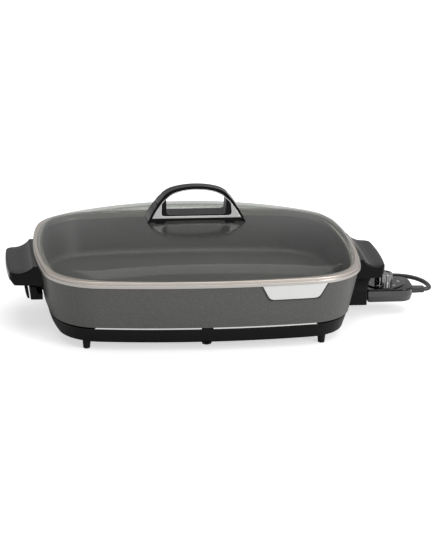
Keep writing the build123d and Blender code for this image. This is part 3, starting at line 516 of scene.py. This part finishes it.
def scoop_height(x):
    """Top of the grip: flat outside, then a quartic in the way covered towards the crest by the pan."""
    way = np.clip((SCOOP_START - x) / SCOOP_LENGTH, 0, 1)
    return GRIP_TOP + np.polyval(SCOOP_CURVE, way)


def make_grip_pad(side, name):
    """Satin pad let into the grip: a square grid in which each row's length shrinks near its ends as a
    superellipse does, laid on the grip's top and rounded down at its border to the power 12."""
    across, along = np.meshgrid(np.linspace(-1, 1, 49), np.linspace(-1, 1, 97), indexing="ij")
    corner = (1 - np.abs(across) ** 7) ** (1 / 7)
    y = along * PAD_HALF * (0.90 + 0.10 * corner)
    outer = grip_edge(y) - PAD_BORDER - 2.2 * np.abs(along) ** 14
    x = PAD_INNER + (outer - PAD_INNER) * (across + 1) / 2
    border = np.maximum(np.abs(across), np.abs(along)) ** 12
    z = scoop_height(x) + PAD_PROUD * (1 - 1.6 * border)
    points = np.stack([side * x, y, z], -1) * mm
    pad = grid_piece(name, points, "skillet", grip_satin, flip=side < 0)
    wall = pad.modifiers.new("thickness", "SOLIDIFY")
    wall.thickness, wall.offset = PAD_THICKNESS * mm, -1


for side, word in ((1, "right"), (-1, "left")):
    make_grip_pad(side, f"grip_pad_{word}")


# ---------------------------------------------------------------- bumps under the base
BUMP_Y, BUMP_TOP, BUMP_HALF, BUMP_DEEP, BUMP_DROP = 141.3, 12.0, 6.6, 3.4, 4.6


def make_base_bump(side, name):
    """Round bump: a half ellipsoid, its height the root of one minus the two squared shares, hung below
    the base's lower edge. Rows run from the pole outwards, columns around."""
    out, around = np.meshgrid(np.linspace(0, math.pi / 2, 25), np.linspace(0, 2 * math.pi, 48), indexing="ij")
    x = BUMP_HALF * np.sin(out) * np.cos(around)
    y = side * BUMP_Y + BUMP_DEEP * np.sin(out) * np.sin(around)
    z = BUMP_TOP - BUMP_DROP * np.cos(out)
    points = np.stack([x, y, z], -1)[:, :-1] * mm
    close_up(grid_piece(name, points, "skillet", gloss_black, wrap=True))


for side, word in ((-1, "front"), (1, "back")):
    make_base_bump(side, f"base_bump_{word}")


# ---------------------------------------------------------------- rounded solids
EDGE_WIDTHS = {
    "handle_right": 0.9,
    "handle_left": 0.9,
    "handle_arch": 1.3,
    "handle_core": 0.8,
    "handle_trim_front": 0.35,
    "handle_trim_back": 0.35,
    "probe_guard": 0.9,
    "bracket_left": 0.9,
    "control_bottom": 1.0,
    "control_top": 0.5,
    "control_deck": 0.4,
    "dial_knob": 0.6,
    "dial_skirt": 0.3,
    "strain_relief": 0.6,
    "plug_body": 0.8,
}
rounded = {name: soften(name, width * mm) for name, width in EDGE_WIDTHS.items()}


# ---------------------------------------------------------------- cord
CORD_DIAMETER = 6 * mm
CORD_ROUTE = [
    (307.5, 0, 27.0),
    (310.6, 0, 27.0),
    (314.3, 1.9, 27.1),
    (316.5, 5.8, 27.4),
    (316.4, 13.5, 28.2),
    (313.0, 24.0, 29.2),
    (306.5, 34.5, 29.8),
    (297.5, 44.0, 29.8),
    (286.5, 52.0, 29.0),
    (275.5, 60.0, 27.0),
    (266.5, 70.0, 23.4),
    (261.5, 82.0, 18.2),
    (258.0, 94.5, 12.4),
    (252.5, 106.5, 7.6),
    (243.0, 117.0, 4.8),
    (230.0, 126.5, 3.8),
    (214.0, 135.0, 3.6),
    (197.0, 142.0, 3.6),
    (180.0, 147.0, 3.8),
    (163.0, 150.4, 4.2),
]
TAIL_ROUTE = [
    (129.0, 153.6, 9.4),
    (121.5, 154.0, 9.1),
    (113.8, 155.0, 8.4),
    (106.0, 156.0, 7.6),
]
COIL_CENTRE = (150.0, 186.0)
OUTER_TURN, INNER_TURN = 36.0, 30.0
LOW_LAYER, HIGH_LAYER = 4.2, 9.6
COIL_START, COIL_TURNS = -78.0, 3.08
TURN_POINTS = 16
RADIUS_TURNS = (0, 0.7, 0.98, 1.8, 2.8, 3.1)
RADII = (36.4, OUTER_TURN, INNER_TURN, INNER_TURN, OUTER_TURN, 37.6)
HEIGHT_TURNS = (0, 1.6, 1.84, COIL_TURNS)
HEIGHTS = (LOW_LAYER, LOW_LAYER, HIGH_LAYER, HIGH_LAYER)


def coil_points():
    """Turns of the coil: an outer and an inner one on the table, and one on top that widens to the way
    out. Each point is the centre plus a radius times the cosine and sine of an angle that falls by one
    circle a turn, where radius and height are read off lines through the turns named below."""
    count = int(COIL_TURNS * TURN_POINTS)
    turn = np.arange(1, count) * COIL_TURNS / count
    angle = np.radians(COIL_START - 360 * turn)
    radius = np.interp(turn, RADIUS_TURNS, RADII)
    height = np.interp(turn, HEIGHT_TURNS, HEIGHTS)
    x = COIL_CENTRE[0] + radius * np.cos(angle)
    y = COIL_CENTRE[1] + radius * np.sin(angle)
    return np.stack([x, y, height], -1).tolist()


def make_cord():
    """The cord as one smooth spline: out of the relief, round behind the pan, through the coil and to
    the plug."""
    curve = bpy.data.curves.new("power_lead", "CURVE")
    curve.dimensions = "3D"
    spots = CORD_ROUTE + coil_points() + TAIL_ROUTE
    spline = curve.splines.new("NURBS")
    spline.points.add(len(spots) - 1)
    flat = np.ones((len(spots), 4))
    flat[:, :3] = np.array(spots) * mm
    spline.points.foreach_set("co", flat.ravel())
    spline.order_u = 3
    spline.use_endpoint_u = True
    spline.resolution_u = 6
    curve.bevel_depth = CORD_DIAMETER / 2
    curve.bevel_resolution = 5
    curve.use_fill_caps = True
    cord = link(bpy.data.objects.new("power_lead", curve), "control", jacket)
    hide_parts("power_cord", "cord_coil", "cord_tail")


make_cord()


# ---------------------------------------------------------------- dial print
DIAL_NUMBERS = ("200", "250", "300", "350", "400")
NUMBER_SIZE, NUMBER_DEPTH = 4.32, 0.05
NUMBER_RADIUS = 19.6
FIRST_ANGLE, ANGLE_STEP = -150, 60


def make_dial_numbers():
    """Plain numbers round the skirt, read from outside."""
    low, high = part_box("dial_skirt")
    middle_x = (low.x + high.x) / 2
    for k, number in enumerate(DIAL_NUMBERS):
        text = bpy.data.curves.new("number", "FONT")
        text.body, text.size = number, NUMBER_SIZE * mm
        text.align_x, text.align_y = "CENTER", "CENTER"
        text.extrude = NUMBER_DEPTH * mm
        source = bpy.data.objects.new("number", text)
        bpy.context.scene.collection.objects.link(source)
        bpy.context.view_layer.update()
        graph = bpy.context.evaluated_depsgraph_get()
        mesh = bpy.data.meshes.new_from_object(source.evaluated_get(graph))
        bpy.data.objects.remove(source)
        turn = Matrix.Rotation(math.radians(FIRST_ANGLE + ANGLE_STEP * k), 4, "Z")
        outwards = Matrix.Translation((0, -NUMBER_RADIUS * mm, 0))
        mesh.transform(Matrix.Translation((middle_x, 0, high.z)) @ turn @ outwards)
        link(bpy.data.objects.new(f"dial_number_{number}", mesh), "dial", print_white)


make_dial_numbers()
dress(rounded["dial_knob"], smoked_chrome)
for name in ("control_top", "control_bottom"):
    dress(rounded[name], housing_gloss)


# ---------------------------------------------------------------- stage
ROOM_LEVEL, MIRRORED_LEVEL = 0.29, 0.5
FLOOR_HALF, FLOOR_GLOW = 14.0, 0.6


def make_stage():
    """Pale floor, one wide soft lamp above, one at the right, and an even white room."""
    floor = bpy.data.meshes.new("floor")
    corners = [(x * FLOOR_HALF, y * FLOOR_HALF, 0) for x, y in ((-1, -1), (1, -1), (1, 1), (-1, 1))]
    floor.from_pydata(corners, [], [(0, 1, 2, 3)])
    piece = bpy.data.objects.new("floor", floor)
    bpy.context.scene.collection.objects.link(piece)
    finish = Finish("floor_white")
    path = finish.node("ShaderNodeLightPath")
    seen = finish.math(
        "MAXIMUM",
        Field(finish, path.outputs["Is Camera Ray"]),
        Field(finish, path.outputs["Is Transmission Ray"]),
    )
    matte = Field(finish, finish.node("ShaderNodeBsdfDiffuse", Color=colour(0.92, 0.92, 0.92)).outputs[0])
    lit = Field(finish, finish.node("ShaderNodeEmission", Strength=seen * FLOOR_GLOW).outputs[0])
    both = finish.node("ShaderNodeAddShader", i0=matte, i1=lit)
    dress(piece, finish.done(Field(finish, both.outputs[0])))

    world = bpy.data.worlds.new("room")
    bpy.context.scene.world = world
    world.use_nodes = True
    tree = world.node_tree
    ray = tree.nodes.new("ShaderNodeLightPath")
    shown, mirrored, total = (tree.nodes.new("ShaderNodeMath") for _ in range(3))
    shown.operation = "MAXIMUM"
    mirrored.operation = total.operation = "MULTIPLY_ADD"
    tree.links.new(ray.outputs["Is Camera Ray"], shown.inputs[0])
    tree.links.new(ray.outputs["Is Transmission Ray"], shown.inputs[1])
    tree.links.new(ray.outputs["Is Glossy Ray"], mirrored.inputs[0])
    mirrored.inputs[1].default_value = MIRRORED_LEVEL - ROOM_LEVEL
    mirrored.inputs[2].default_value = ROOM_LEVEL
    tree.links.new(shown.outputs[0], total.inputs[0])
    total.inputs[1].default_value = 1 - ROOM_LEVEL
    tree.links.new(mirrored.outputs[0], total.inputs[2])
    tree.links.new(total.outputs[0], tree.nodes["Background"].inputs["Strength"])
    tree.nodes["Background"].inputs["Color"].default_value = colour(1, 1, 1)

    for name, spot, wide, power, aim in (
        ("lamp_above", (0.3, 0.0, 1.9), 2.4, 27, (0, 0, 0)),
        ("lamp_right", (1.5, -1.5, 0.8), 1.0, 17, (0.1, 0, 0.05)),
    ):
        lamp = bpy.data.lights.new(name, "AREA")
        lamp.size, lamp.energy = wide, power
        light = bpy.data.objects.new(name, lamp)
        light.location = spot
        light.rotation_euler = (Vector(aim) - Vector(spot)).to_track_quat("-Z", "Y").to_euler()
        bpy.context.scene.collection.objects.link(light)
    bpy.context.scene.view_settings.view_transform = "Standard"


make_stage()
